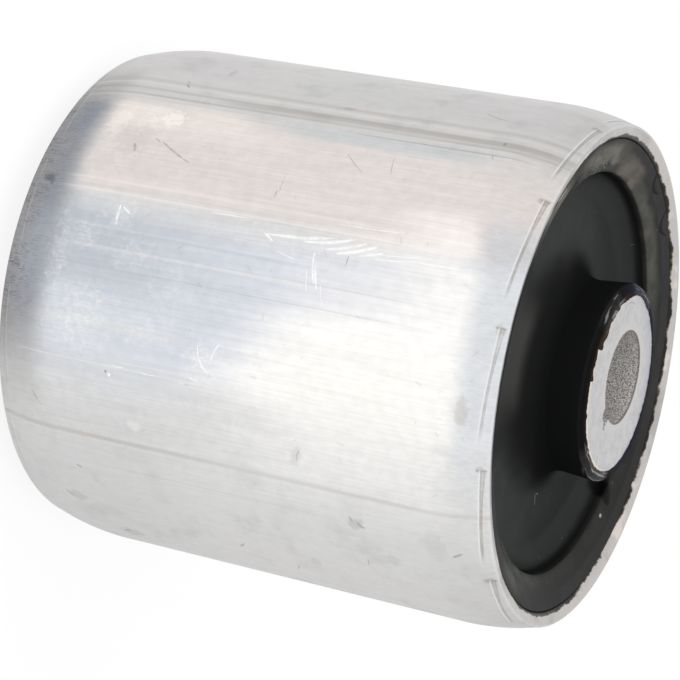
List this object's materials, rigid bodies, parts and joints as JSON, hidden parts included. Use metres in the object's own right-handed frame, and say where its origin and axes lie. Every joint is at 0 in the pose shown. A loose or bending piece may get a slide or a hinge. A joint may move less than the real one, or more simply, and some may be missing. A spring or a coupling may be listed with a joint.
{
  "type": "rubber metal bush",
  "caption": "Cylindrical rubber-to-metal suspension bush: swaged aluminium shell, moulded rubber body and a bored aluminium inner sleeve.",
  "frame": {"origin": "centre of the bush's box, in the plane of the inner sleeve's lower face", "axes": "+Z along the bush's axis, towards the end whose bore has the dent"},
  "size_m": [0.066, 0.066, 0.0743],
  "materials": {
    "drawn_aluminium": "drawn and scuffed, satin",
    "black_rubber": "moulded, half matt",
    "cut_aluminium": "sawn face, grit-blasted bore"
  },
  "bodies": {
    "root": {"outer_shell": "drawn_aluminium", "rubber_body": "black_rubber", "inner_sleeve": "cut_aluminium"}
  },
  "joints": []
}
